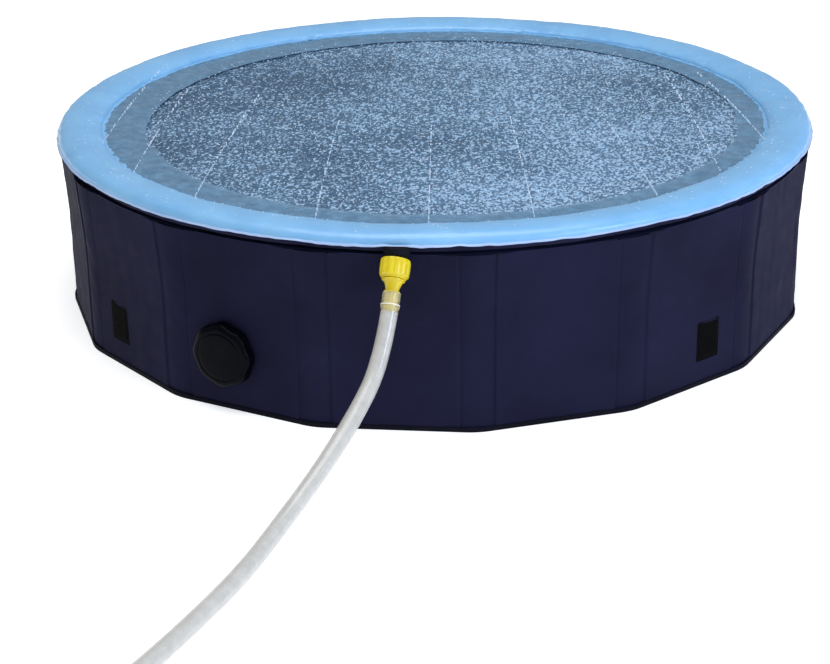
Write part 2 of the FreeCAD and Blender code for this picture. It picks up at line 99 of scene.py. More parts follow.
# Hose, and the points of its route from the inlet coupling to the coil
HOSE_D = 24 * MM
HOSE_LAY = HOSE_D / 2
HOSE_BORE = 9.5 * MM
SLEEVE_END = 84 * MM
HOSE_RUN = [
    (-0.005, -0.697, 0.149),
    (-0.032, -0.760, 0.101),
    (-0.069, -0.840, 0.057),
    (-0.106, -0.934, 0.028),
    (-0.136, -1.035, 0.014),
    (-0.173, -1.150, 0.012),
    (-0.213, -1.262, 0.012),
    (-0.256, -1.366, 0.012),
    (-0.300, -1.462, 0.012),
]
COIL_R = 138 * MM
COIL_STEPS_PER_TURN = 16
COIL_STEPS = 38
TAIL_RUN = [(0.060, 0.057), (0.125, 0.043), (0.188, 0.028), (0.240, 0.0212), (0.285, 0.0212)]


# ---- node graphs

def feed(tree, sockets, values):
    """Sockets set to values, or linked to other nodes."""
    for key, value in dict(values).items():
        if isinstance(value, bpy.types.NodeSocket):
            tree.links.new(value, sockets[key])
        else:
            sockets[key].default_value = value


def add(tree, kind, inputs=(), **settings):
    """One shader node."""
    item = tree.nodes.new(kind)
    for key, value in settings.items():
        setattr(item, key, value)
    feed(tree, item.inputs, inputs)
    return item


class Paint:
    """One procedural material: its shader, and the nodes that feed it. Values that
    are the same all over the surface are set on the shader itself."""

    def __init__(self, name, **fixed):
        self.material = bpy.data.materials.new(name)
        self.material.use_nodes = True
        self.tree = self.material.node_tree
        self.shader = self.tree.nodes["Principled BSDF"]
        self.connect(**fixed)
        self.place = add(self.tree, "ShaderNodeTexCoord").outputs["Object"]

    def connect(self, **sockets):
        """The shader's own sockets, set or linked."""
        values = {key.replace("_", " "): value for key, value in sockets.items()}
        feed(self.tree, self.shader.inputs, values)
        return self.material

    def maths(self, operation, a, b):
        return add(self.tree, "ShaderNodeMath", {0: a, 1: b}, operation=operation).outputs[0]

    def plus(self, a, b):
        return self.maths("ADD", a, b)

    def times(self, a, b):
        return self.maths("MULTIPLY", a, b)

    def weigh(self, a, share_a, b, share_b):
        return self.plus(self.times(a, share_a), self.times(b, share_b))

    def noise(self, scale, detail=3.0, roughness=0.55, place=None):
        values = {"Vector": self.place if place is None else place,
                  "Scale": scale, "Detail": detail, "Roughness": roughness}
        return add(self.tree, "ShaderNodeTexNoise", values).outputs["Fac"]

    def stripes(self, scale, direction):
        values = {"Vector": self.place, "Scale": scale, "Detail": 0.0}
        return add(self.tree, "ShaderNodeTexWave", values, bands_direction=direction).outputs["Fac"]

    def cells(self, scale):
        values = {"Vector": self.place, "Scale": scale}
        return add(self.tree, "ShaderNodeTexVoronoi", values).outputs["Distance"]

    def ramp(self, value, start, end, low, high):
        values = {"Value": value, "From Min": start, "From Max": end, "To Min": low, "To Max": high}
        return add(self.tree, "ShaderNodeMapRange", values).outputs["Result"]

    def spread(self, value, low=0.0, high=1.0):
        """A noise value, mostly 0.3 to 0.7, stretched to run from low to high."""
        return self.ramp(value, 0.3, 0.7, low, high)

    def mix(self, share, a, b):
        """A blend of two colours, each a colour or another node's output."""
        a, b = (c if isinstance(c, bpy.types.NodeSocket) else (*c, 1) for c in (a, b))
        values = {"Factor": share, 6: a, 7: b}
        return add(self.tree, "ShaderNodeMix", values, data_type="RGBA").outputs[2]

    def bump(self, height, strength, distance, under=None):
        values = {"Height": height, "Strength": strength, "Distance": distance}
        if under is not None:
            values["Normal"] = under
        return add(self.tree, "ShaderNodeBump", values).outputs["Normal"]


def coated_cloth(name, dark, pale, shine, weave=0.25):
    """PVC-coated cloth: faint weave under the coat, soft unevenness and scuffs."""
    p = Paint(name, Specular_IOR_Level=0.03)
    broad = p.noise(7.0)
    fine = p.noise(260.0, 2.0)
    scuff = p.noise(34.0, 6.0, 0.7)
    rough = p.plus(p.spread(scuff, shine - 0.07, shine + 0.09), p.times(fine, 0.05))
    cloth = p.times(p.stripes(240.0, "Z"), p.stripes(240.0, "DIAGONAL"))
    uneven = p.bump(scuff, 0.25, 0.0006, p.bump(broad, 0.35, 0.003))
    return p.connect(Base_Color=p.mix(p.spread(broad), dark, pale), Roughness=rough,
                     Normal=p.bump(cloth, weave, 0.00025, uneven))


def vinyl(name, dark, pale, shine):
    """Smooth satin vinyl film, a little uneven in colour, with fine creases."""
    p = Paint(name, Specular_IOR_Level=0.45, Coat_Weight=0.25, Coat_Roughness=0.18,
              Subsurface_Weight=0.08, Subsurface_Scale=0.01)
    broad = p.noise(5.0, 2.0)
    middle = p.noise(22.0, 4.0)
    fine = p.noise(420.0, 2.0)
    share = p.spread(p.weigh(broad, 0.6, middle, 0.4))
    creased = p.bump(p.cells(26.0), 0.12, 0.0015, p.bump(middle, 0.3, 0.002))
    return p.connect(Base_Color=p.mix(share, dark, pale),
                     Roughness=p.spread(middle, shine - 0.06, shine + 0.08),
                     Normal=p.bump(fine, 0.08, 0.0002, creased))


def clear_sheet(name, dark, pale, alpha, shine, cloud=0.03):
    """See-through film or tube wall: cloudy streaks and a wet shine."""
    p = Paint(name, Specular_IOR_Level=0.5, Coat_Weight=0.3, Coat_Roughness=0.08)
    broad = p.noise(9.0, 4.0)
    streak = p.noise(60.0, 5.0, 0.65)
    cloudy = p.spread(p.weigh(broad, 0.5, streak, 0.5), alpha - cloud, alpha + cloud)
    return p.connect(Base_Color=p.mix(p.spread(streak), dark, pale),
                     Roughness=p.spread(streak, shine - 0.04, shine + 0.1), Alpha=cloudy,
                     Normal=p.bump(streak, 0.2, 0.0008, p.bump(broad, 0.3, 0.002)))


def moulded(name, dark, pale, shine, grain=0.2, specular=0.45, coat=0.1):
    """Moulded plastic: fine texture, slight colour drift, paler worn edges."""
    p = Paint(name, Specular_IOR_Level=specular, Coat_Weight=coat, Coat_Roughness=0.2)
    broad = p.noise(40.0, 3.0)
    fine = p.noise(1400.0, 2.0)
    marks = p.noise(180.0, 6.0, 0.75)
    edge = add(p.tree, "ShaderNodeNewGeometry").outputs["Pointiness"]
    worn = p.ramp(edge, 0.52, 0.62, 0.0, 0.6)
    light = tuple(min(1.0, c * 1.3 + 0.004) for c in pale)
    return p.connect(Base_Color=p.mix(worn, p.mix(p.spread(broad), dark, pale), light),
                     Roughness=p.spread(marks, shine - 0.08, shine + 0.1),
                     Normal=p.bump(fine, grain, 0.00008, p.bump(marks, 0.12, 0.0002)))


def pile(name, dark, pale, scale):
    """Hook or loop pile: dense tiny tufts."""
    p = Paint(name, Specular_IOR_Level=0.05)
    tufts = p.cells(scale)
    fuzz = p.noise(scale * 0.6, 5.0, 0.8)
    share = p.spread(p.plus(tufts, p.times(fuzz, 0.4)))
    return p.connect(Base_Color=p.mix(share, pale, dark), Roughness=p.spread(fuzz, 0.75, 0.95),
                     Normal=p.bump(tufts, 0.9, 0.0008, p.bump(fuzz, 0.5, 0.0006)))


def fibreboard():
    """Plain brown pressed board."""
    p = Paint("fibreboard_brown", Specular_IOR_Level=0.25)
    fibres = p.noise(320.0, 6.0, 0.75)
    colour = p.mix(p.spread(fibres), (0.20, 0.13, 0.075), (0.36, 0.25, 0.15))
    return p.connect(Base_Color=p.mix(p.noise(12.0), colour, (0.28, 0.19, 0.11)),
                     Roughness=p.spread(fibres, 0.7, 0.9), Normal=p.bump(fibres, 0.4, 0.0004))


def rubbery(name, dark, pale):
    """Dull rubber or thread: slight drift and a very fine grain."""
    p = Paint(name, Specular_IOR_Level=0.06)
    broad = p.noise(30.0, 4.0)
    return p.connect(Base_Color=p.mix(p.spread(broad), dark, pale),
                     Roughness=p.spread(broad, 0.55, 0.75),
                     Normal=p.bump(p.noise(900.0, 3.0), 0.25, 0.0001))


def water():
    """Bath water broken up by falling spray: dark blue with dense pale specks.
    Painted light: the water's colour grows paler towards +X, the side where the
    light falls, and the same slope makes the specks denser there."""
    p = Paint("bath_water", Specular_IOR_Level=0.25)
    chop = p.noise(45.0, 4.0, 0.7)
    values = {"Vector": p.place, "Scale": (1.0, 0.6, 1.0)}
    drawn = add(p.tree, "ShaderNodeMapping", values).outputs["Vector"]
    fine = p.noise(255.0, 2.0, 0.6, drawn)
    x = add(p.tree, "ShaderNodeSeparateXYZ", {0: p.place}).outputs[0]
    # Painted light: lean climbs towards +X, paling the water there and thickening its specks
    lean = p.plus(p.noise(3.2, 2.0), p.times(x, 0.34))
    water_tone_and_painted_light = p.mix(p.spread(lean), (0.030, 0.080, 0.150), (0.070, 0.150, 0.260))
    busy = p.weigh(fine, 0.85, chop, 0.15)
    busy = p.plus(busy, p.times(p.maths("SUBTRACT", lean, 0.5), 0.17))
    foam = p.ramp(busy, 0.50, 0.59, 0.0, 0.9)
    return p.connect(Base_Color=p.mix(foam, water_tone_and_painted_light, (0.37, 0.57, 0.80)),
                     Roughness=p.spread(chop, 0.15, 0.45),
                     Normal=p.bump(chop, 0.8, 0.006, p.bump(fine, 0.5, 0.001)))


def pale_floor():
    p = Paint("floor_white", Specular_IOR_Level=0.1, Emission_Color=(1, 1, 1, 1),
              Emission_Strength=0.52)
    tone = p.noise(2.0)
    return p.connect(Base_Color=p.mix(tone, (0.90, 0.90, 0.91), (0.93, 0.93, 0.94)),
                     Roughness=p.spread(tone, 0.7, 0.9))


WALL = coated_cloth("wall_navy_cloth", (0.0092, 0.0092, 0.025), (0.0135, 0.0138, 0.038), 0.62)
LINER = coated_cloth("liner_navy_sheet", (0.010, 0.013, 0.036), (0.017, 0.022, 0.056), 0.38,
                     weave=0.12)
BASE = rubbery("base_black_sheet", (0.010, 0.011, 0.016), (0.020, 0.021, 0.028))
WELT = coated_cloth("welt_dark_tape", (0.004, 0.004, 0.008), (0.008, 0.008, 0.014), 0.5, weave=0.4)
BOARD = fibreboard()
RING = vinyl("ring_sky_blue", (0.155, 0.385, 0.680), (0.235, 0.505, 0.790), 0.38)
RING_WELD = vinyl("ring_weld_pale", (0.30, 0.42, 0.68), (0.42, 0.54, 0.78), 0.45)
FILM_CLEAR = clear_sheet("film_blue_grey", (0.085, 0.220, 0.375), (0.180, 0.375, 0.580), 0.62, 0.20,
                         cloud=0.07)
CAP = moulded("drain_black_plastic", (0.0008, 0.0011, 0.0024), (0.0018, 0.0022, 0.0040), 0.28,
              specular=0.03, coat=0.02)
RUBBER = rubbery("seal_black_rubber", (0.004, 0.004, 0.007), (0.008, 0.008, 0.013))
HOOKS = pile("hook_black", (0.0006, 0.0006, 0.0009), (0.0026, 0.0026, 0.0032), 700.0)
LOOPS = pile("loop_black", (0.0006, 0.0006, 0.0009), (0.0034, 0.0034, 0.0040), 420.0)
THREAD = rubbery("stitch_black_thread", (0.006, 0.006, 0.008), (0.016, 0.016, 0.018))
YELLOW = moulded("coupling_yellow", (0.62, 0.47, 0.006), (0.76, 0.61, 0.014), 0.30,
                 grain=0.1, coat=0.15)
CREAM = moulded("spigot_off_white", (0.72, 0.71, 0.64), (0.82, 0.82, 0.78), 0.35)
SLEEVE = clear_sheet("sleeve_cream_clear", (0.68, 0.59, 0.30), (0.80, 0.73, 0.47), 0.36, 0.2)
# Painted highlight: an opaque cream ring that stands for a ring of light on the clear sleeve
SLEEVE_PAINTED_HIGHLIGHT = moulded("sleeve_painted_highlight_ring", (0.70, 0.68, 0.56), (0.80, 0.78, 0.68), 0.25)
HOSE = clear_sheet("hose_clear", (0.54, 0.53, 0.485), (0.65, 0.64, 0.595), 0.60, 0.10)
# Painted light: the bore is a paler, more opaque copy of the hose's clear PVC, so the tube's middle
# reads lighter than its edges
HOSE_BORE_PAINTED_LIGHT = clear_sheet("hose_bore_painted_light", (0.80, 0.80, 0.79), (0.90, 0.90, 0.89), 0.75, 0.15)


# ---- mesh building

def made(name, points, faces, materials, sharp=35.0, indices=None):
    """A mesh object in the row frame, its normals outward and its creases sharp."""
    mesh = bpy.data.meshes.new(name)
    mesh.from_pydata(np.asarray(points, float).reshape(-1, 3).tolist(), [], faces)
    for material in materials:
        mesh.materials.append(material)
    if indices is not None:
        mesh.polygons.foreach_set("material_index", np.asarray(indices, np.int32))
    work = bmesh.new()
    work.from_mesh(mesh)
    bmesh.ops.remove_doubles(work, verts=work.verts, dist=1e-7)
    bmesh.ops.dissolve_degenerate(work, edges=work.edges, dist=1e-7)
    bmesh.ops.recalc_face_normals(work, faces=work.faces)
    work.to_mesh(mesh)
    work.free()
    mesh.shade_smooth()
    mesh.set_sharp_from_angle(angle=math.radians(sharp))
    item = bpy.data.objects.new(name, mesh)
    bpy.context.scene.collection.objects.link(item)
    return item


def grid_faces(rows, columns, wrap_rows, wrap_columns):
    index = np.arange(rows * columns).reshape(rows, columns)
    down = np.roll(index, -1, 0)
    across = np.roll(index, -1, 1)
    both = np.roll(down, -1, 1)
    quads = np.stack([index, across, both, down], -1)
    if not wrap_rows:
        quads = quads[:-1]
    if not wrap_columns:
        quads = quads[:, :-1]
    return quads


def surface(name, points, materials, wrap_rows=True, wrap_columns=True, sharp=35.0, rows_of=None):
    """A mesh from a grid of points. rows_of maps a material index to its rows."""
    quads = grid_faces(*points.shape[:2], wrap_rows, wrap_columns)
    indices = np.zeros(quads.shape[:2], int)
    for number, rows in (rows_of or {}).items():
        indices[rows] = number
    return made(name, points, quads.reshape(-1, 4).tolist(), materials, sharp, indices.reshape(-1))


def circle(steps):
    """Angles evenly spaced over a full turn."""
    return np.linspace(0, TURN, steps, endpoint=False)


def polar(radius, angle, height):
    """Points round an axis, from values that broadcast together."""
    x, y = radius * np.cos(angle), radius * np.sin(angle)
    return np.stack([x, y, np.broadcast_to(height, x.shape)], -1)


def spot_at(radius, turn, height):
    """One point round the tub's axis."""
    return Vector((radius * math.cos(turn), radius * math.sin(turn), height))


def stretched(spot, size, turn=0.0):
    """The place of a small shape, turned and stretched."""
    return Matrix.Translation(spot) @ Matrix.Rotation(turn, 4, "Z") @ Matrix.Diagonal((*size, 1))


def rounded(half_width, half_height, corner, steps):
    """The outline of a rectangle with round corners, anticlockwise."""
    points = []
    for x, y, start in ((1, 1, 0), (-1, 1, 90), (-1, -1, 180), (1, -1, 270)):
        for step in range(steps + 1):
            turn = math.radians(start + 90 * step / steps)
            points.append((x * (half_width - corner) + corner * math.cos(turn),
                           y * (half_height - corner) + corner * math.sin(turn)))
    return np.array(points)


def ease(t):
    t = np.clip(t, 0, 1)
    return t * t * (3 - 2 * t)


def ripple(seed, angle, other=0.0, waves=8, low=3, high=24, stretch=0.0):
    """Smooth unevenness that closes on itself round the tub: a sum of waves,
    each with a whole number of turns."""
    pick = np.random.default_rng(seed)
    total = 0.0
    for _ in range(waves):
        turns = int(pick.integers(low, high + 1))
        lean = pick.uniform(-stretch, stretch)
        total = total + np.sin(turns * angle + lean * other + pick.uniform(0, TURN))
    return total / math.sqrt(waves)


def hummocks(seed, angle, other, waves, low, high, stretch):
    """A ripple held between 0 and 1."""
    return 0.5 + 0.5 * np.clip(ripple(seed, angle, other, waves, low, high, stretch) / 1.6, -1, 1)


def softened(outline, cut=0.6, steps=3):
    """An outline with its corners rounded off: closed, in millimetres."""
    points = []
    count = len(outline)
    for index, (x, y) in enumerate(outline):
        corner = np.array((x, y), float)
        before = np.array(outline[index - 1], float) - corner
        after = np.array(outline[(index + 1) % count], float) - corner
        size_before, size_after = np.linalg.norm(before), np.linalg.norm(after)
        if x < 1e-6:
            points.append(corner)
            continue
        start = corner + before * min(cut, 0.42 * size_before) / size_before
        end = corner + after * min(cut, 0.42 * size_after) / size_after
        for step in range(steps + 1):
            t = step / steps
            points.append((1 - t) ** 2 * start + 2 * t * (1 - t) * corner + t * t * end)
    return np.array(points)


def placed(points, place):
    """Points in millimetres in a part's own frame, moved to their place in metres."""
    matrix = np.array(place)
    return points * MM @ matrix[:3, :3].T + matrix[:3, 3]


def lathe(name, place, outline, materials, around=96, shape=None, sharp=40.0, band=None):
    """A turned part from a closed outline of (radius, station) in millimetres.
    shape(radius, station, angle) gives the radius back with flutes or threads,
    and the stations in band get the second material."""
    angle = circle(around)
    radius = np.repeat(outline[:, :1], around, 1)
    station = np.repeat(outline[:, 1:], around, 1)
    turned = np.repeat(angle[None], len(outline), 0)
    if shape is not None:
        radius = shape(radius, station, turned)
    points = placed(polar(radius, turned, station), place)
    rows_of = None
    if band is not None:
        middle = (station[:, 0] + np.roll(station[:, 0], -1)) / 2
        rows_of = {1: (middle > band[0]) & (middle < band[1])}
    return surface(name, points, materials, sharp=sharp, rows_of=rows_of)


def many(name, template_points, template_faces, matrices, materials, sharp=35.0):
    """One mesh made of the same small shape at many places."""
    template = np.c_[np.array(template_points, float), np.ones(len(template_points))]
    points, faces = [], []
    for number, matrix in enumerate(matrices):
        points.append((template @ np.array(matrix).T)[:, :3])
        start = number * len(template)
        faces += [[start + v for v in face] for face in template_faces]
    return made(name, np.concatenate(points), faces, materials, sharp)


def ball(rings=4, around=6):
    """Points and faces of a small round drop of radius 1."""
    tilt = np.linspace(0, math.pi, rings + 1)[:, None]
    points = polar(np.sin(tilt), circle(around), np.cos(tilt))
    return points.reshape(-1, 3), grid_faces(rings + 1, around, False, True).reshape(-1, 4).tolist()


def piece(item, body="tub", replaces=()):
    """An object's own piece: the body it rides on, and the parts it stands for, which are hidden.
    """
    if replaces:
        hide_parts(*replaces)
    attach(item, body)
    return item


def repaint(node, material):
    nodes[node].data.materials.clear()
    nodes[node].data.materials.append(material)


# ---- wall and floor

def heading(turn):
    """A level direction of length 1."""
    return np.array((math.cos(turn), math.sin(turn)))


def wall_places(pocket_steps=14, corner_steps=7):
    """Places once round the wall: point on the boards' middle line, direction
    outward, angle, and distance from the middle of the panel."""
    half = list(np.linspace(0, POCKET_EDGE - 7 * MM, pocket_steps))
    half += list(np.linspace(POCKET_EDGE - 5.5 * MM, BAND_EDGE + 0.5 * MM, 12)) + [FLAT_EDGE]
    spans = [-x for x in reversed(half[1:])] + half
    base, out, along = [], [], []
    for panel in range(PANELS):
        facing = FRONT - panel * STEP
        normal, sideways = heading(facing), heading(facing - TURN / 4)
        for across in spans:
            base.append(normal * MID_APOTHEM + sideways * across)
            out.append(normal)
            along.append(abs(across))
        middle = facing - STEP / 2
        reach = (MID_APOTHEM - CORNER_RADIUS) / math.cos(STEP / 2)
        centre = heading(middle) * reach
        for step in range(1, corner_steps):
            share = step / corner_steps
            turn = facing - STEP * share
            normal = heading(turn)
            base.append(centre + normal * CORNER_RADIUS)
            out.append(normal)
            along.append(FLAT_EDGE + CORNER_RADIUS * STEP * min(share, 1 - share))
    base, out, along = np.array(base), np.array(out), np.array(along)
    angle = np.arctan2(base[:, 1], base[:, 0])
    return base, out, along, angle


def standing(base, out, level, height):
    """Points at a level outside the middle line and at a height."""
    flat = base[None] + out[None] * level[..., None]
    return np.concatenate([flat, np.broadcast_to(height, level.shape)[..., None]], -1)


def lean_out(height):
    """The outer skin's lean under the full ring, which starts over the drain."""
    rise = (height - LEAN_START) / (WALL_TOP - LEAN_START)
    return WALL_LEAN * ease(rise / LEAN_SPREAD) / float(ease(1 / LEAN_SPREAD))


def skin_level(seed, along, angle, height):
    """How far a skin stands from the boards' middle line: over a board, pressed
    together in the weld beside it, and loose and puckered over the hinge."""
    share = 1 - ease((along - POCKET_EDGE) / (3.4 * MM))
    weld_middle = (POCKET_EDGE + BAND_EDGE) / 2
    weld = np.exp(-((along - weld_middle) / (1.9 * MM)) ** 2)
    band = ease((along - weld_middle) / (4 * MM))
    rise = (height - WALL_LOW) / (WALL_TOP - WALL_LOW)
    swell = np.sin(np.pi * np.clip(rise, 0, 1)) * (1 - (along / POCKET_EDGE) ** 2)
    level = SKIN + 0.02 * MM + (BOARD_HALF - 0.02 * MM) * share + BAND_HALF * band
    level = level + 0.9 * MM * share * np.clip(swell, 0, 1)
    level = level + 0.55 * MM * share * hummocks(seed, angle, height, 10, 30, 110, 45.0)
    near_weld = np.exp(-np.abs(along - weld_middle) / (11 * MM)) * (1 - weld)
    level = level + 0.9 * MM * near_weld * hummocks(seed + 1, angle, height, 9, 5, 60, 420.0)
    fold = hummocks(seed + 2, angle, height, 9, 8, 90, 190.0)
    level = level + (1.6 * MM * band * fold * ease((along - BAND_EDGE) / (9 * MM))
                     * np.sin(np.pi * rise) ** 0.5)
    return level


def wall_heights():
    low = WALL_LOW + np.array((0, 1.2, 3, 6, 10)) * MM
    high = WALL_TOP - np.array((8, 4, 1.5, 0)) * MM
    return np.concatenate([low, np.linspace(low[-1], high[0], 38)[1:-1], high])


def wall_shell(name, side, seed, material):
    """One skin of the wall, a closed thin sheet. side is 1 outside and -1 inside."""
    base, out, along, angle = wall_places()
    height = wall_heights()[:, None]
    level = skin_level(seed, along[None], angle[None], height) + lean_out(height) * (side > 0)
    face = standing(base, out, side * level, height)
    back = standing(base, out, side * (level - SKIN), height)
    shell = surface(name, np.concatenate([face, back[::-1]]), [material], sharp=50.0)
    cut_drain_hole(shell)
    return shell


def cut_drain_hole(item):
    """The round hole through a skin that the drain flange passes."""
    outline = np.array([(0, -12), (DRAIN_HOLE, -12), (DRAIN_HOLE, 12), (0, 12)], float)
    cutter = lathe("drain_hole_cutter", drain_place(), outline, [], around=96)
    change = item.modifiers.new("hole", "BOOLEAN")
    change.operation = "DIFFERENCE"
    change.solver = "EXACT"
    change.object = cutter
    bpy.context.view_layer.update()
    evaluated = item.evaluated_get(bpy.context.evaluated_depsgraph_get())
    mesh = bpy.data.meshes.new_from_object(evaluated)
    item.modifiers.clear()
    item.data = mesh
    mesh.set_sharp_from_angle(angle=math.radians(50))
    bpy.data.objects.remove(cutter)


def joint(name):
    return next(j for j in frame["joints"] if j["name"] == name)


def drain_place():
    """The drain's own frame: Z straight out of the wall, from the boards' middle."""
    turn = joint("drain_cap_turn")
    normal = Vector(turn["axis"])
    side = UP.cross(normal)
    centre = Vector(turn["pos_m"])
    centre -= normal * (centre.dot(normal) - MID_APOTHEM)
    place = Matrix((side, UP, normal)).transposed().to_4x4()
    place.translation = centre
    return place


def build_wall():
    """Outer and inner skins over the boards, which are in the frame already."""
    boards = [f"wall_board_{number:02d}" for number in range(1, PANELS + 1)]
    for name, side, seed, material, slot, node in (
            ("wall_outer_cloth", 1, 11, WALL, "wall_pvc", "wall_outer_skin"),
            ("wall_inner_cloth", -1, 23, LINER, "liner_pvc", "wall_liner")):
        skin = piece(wall_shell(name, side, seed, material), replaces=[node])
    for board in boards:
        repaint(board, BOARD)
    for node in ("corner_hinge_strips", "rim_collar"):
        repaint(node, LINER)


def flat_sheet(name, flat, under, top, material):
    """A closed thin sheet from a flat grid and the heights of its two faces."""
    low, high = (np.concatenate([flat, np.broadcast_to(z, flat.shape[:2])[..., None]], -1)
                 for z in (under, top))
    return surface(name, np.concatenate([low, high[::-1]]), [material], wrap_rows=False, sharp=60.0)


def build_floor():
    """Liner, base sheet and the welt round the foot of the wall."""
    base, out, _, angle = wall_places(8, 5)
    shares = np.r_[0.0, np.linspace(0.03, 0.955, 44), 0.97, 0.982, 0.99, 0.995, 0.9985, 1.0]
    away = shares[:, None]

    edge = BOARD_HALF + SKIN
    flat = (base + out * edge)[None] * shares[:, None, None]
    mound = ripple(31, angle[None], away, 9, 0, 7, 26.0)
    mound = mound + 0.6 * ripple(32, angle[None], away, 9, 2, 16, 60.0)
    crease = np.exp(-((ripple(33, angle[None], away, 6, 1, 9, 34.0)) / 0.16) ** 2)
    calm = ease((1 - away) / 0.05) * ease(away / 0.06)
    lift = 0.55 * (1 + np.clip(mound / 2.2, -1, 1)) + 1.1 * crease * ease((away - 0.25) / 0.4)
    lift = calm * MM * lift
    under = BASE_TOP + 0.02 * MM + lift
    liner = flat_sheet("floor_liner_sheet", flat, under, FLOOR_TOP + lift, LINER)
    piece(liner, replaces=["liner_floor"])

    edge = BOARD_HALF + SKIN + WELT_WIDTH
    flat = (base + out * edge)[None] * shares[:, None, None]
    dimple = 0.5 + 0.5 * np.sin(flat[..., 0] * TURN / 0.034) * np.sin(flat[..., 1] * TURN / 0.034)
    rise = 0.22 * MM * dimple * ease((1 - away) / 0.03)
    sheet = flat_sheet("base_grip_sheet", flat, rise, BASE_TOP, BASE)
    piece(sheet, replaces=["base_sheet"])

    turn = circle(14)[:, None]
    across, tall = (np.sign(wave) * np.abs(wave) ** 0.6 for wave in (np.cos(turn), np.sin(turn)))
    sway = 0.25 * MM * ripple(41, angle, 0.0, 9, 20, 120)
    middle, half = (BASE_TOP + WELT_TOP) / 2, (WELT_TOP - BASE_TOP) / 2
    height = middle + tall * half + np.clip(tall, 0, 1) * sway[None]
    level = BOARD_HALF + SKIN + WELT_WIDTH * (0.5 + 0.5 * across)
    level = np.broadcast_to(level, height.shape)
    welt = surface("foot_welt_tape", standing(base, out, level, height), [WELT], sharp=60.0)
    piece(welt, replaces=["base_welt"])


# ---- closing patches

def patch_place(node):
    """A patch's own frame: X across, Y up, Z straight out of the panel."""
    low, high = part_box(node)
    centre = (low + high) / 2
    facing = round((math.atan2(centre.y, centre.x) - FRONT) / STEP) * STEP + FRONT
    normal = Vector((math.cos(facing), math.sin(facing), 0))
    place = Matrix((UP.cross(normal), UP, normal)).transposed().to_4x4()
    back = MID_APOTHEM + BOARD_HALF + SKIN
    place.translation = centre - normal * (centre.dot(normal) - back)
    return place


def build_patch(kind, material):
    """A square of hook or loop tape, rounded at its corners and sewn on."""
    node = f"closure_{kind}_patch"
    place = patch_place(node)
    width, height, corner = 23.0, 31.5, 3.0
    rim = rounded(width, height, corner, 5)
    edge = []
    for a, b in zip(rim, np.roll(rim, -1, 0)):
        parts = max(1, int(np.linalg.norm(b - a) / 3))
        edge += [a + (b - a) * step / parts for step in range(parts)]
    edge = np.array(edge)
    rows = []
    for share, level in ((0, 0.0), (1.0, 0.0), (1.0, 0.55), (0.985, 0.95), (0.955, 1.15),
                         (0.92, 0.86), (0.89, 0.82), (0.86, 1.15), (0.82, 1.5), (0.7, 1.58),
                         (0.5, 1.6), (0.3, 1.6), (0.0, 1.6)):
        wobble = 0.08 * np.sin(edge[:, 0] * 0.9 + 4 * share) * np.sin(edge[:, 1] * 0.7)
        rows.append(np.c_[edge * share, level + wobble * (level >= 1)])
    points = placed(np.array(rows), place)
    patch = surface(f"closure_{kind}_pad", points, [material], wrap_rows=False, sharp=50.0)
    piece(patch, replaces=[node])

    line = edge * 0.905
    loop = np.r_[line, line[:1]]
    along = np.r_[0, np.cumsum(np.linalg.norm(np.diff(loop, axis=0), axis=1))]
    count = int(along[-1] / 3.2)
    stitches = []
    for number in range(count):
        at = (number + 0.5) / count * along[-1]
        (x, x2), (y, y2) = (np.interp((at, at + 0.3), along, loop[:, i]) for i in (0, 1))
        spot = Vector((x, y, 1.0)) * MM
        size = Vector((1.05, 0.34, 0.30)) * MM
        stitches.append(place @ stretched(spot, size, math.atan2(y2 - y, x2 - x)))
    thread = many(f"closure_{kind}_stitches", *ball(), stitches, [THREAD])
    piece(thread)


# ---- spray ring

def ring_film_rows(tall, wide_power, high_power, steps, skew=0.0):
    """One film of the ring, from its outer edge over to its inner edge: radius,
    rise from the seam, place across from -1 to 1, distance from the nearer seam,
    and share of the seam's flat width. skew moves the top outward."""
    start, end = RING_INNER + SEAM_WIDTH, RING_OUTER - SEAM_HANG
    middle, half = (start + end) / 2, (end - start) / 2
    rows = [(end + SEAM_HANG * share, 0.0, 1.0, 0.0, share) for share in (1.0, 0.75, 0.5, 0.25)]
    for step in range(steps + 1):
        turn = math.pi * step / steps
        across = math.copysign(abs(math.cos(turn)) ** (2 / wide_power), math.cos(turn))
        rise = abs(math.sin(turn)) ** (2 / high_power)
        across += skew * (1 - across * across)
        rows.append((middle + half * across, tall * rise, across, half * (1 - abs(across)), 0.0))
    rows += [(start - SEAM_WIDTH * share, 0.0, -1.0, 0.0, share)
             for share in (0.25, 0.5, 0.75, 1.0)]
    return np.array(rows)


def ring_shift(angle):
    """How far the inner and outer seams wander in and out."""
    inner = 1.6 * ripple(51, angle, 0.0, 10, 4, 26) + 0.55 * ripple(52, angle, 0.0, 10, 40, 110)
    outer = 0.9 * ripple(53, angle, 0.0, 8, 3, 18) + 0.35 * ripple(54, angle, 0.0, 10, 50, 120)
    return inner * MM, np.clip(outer, -3, 1.5) * MM


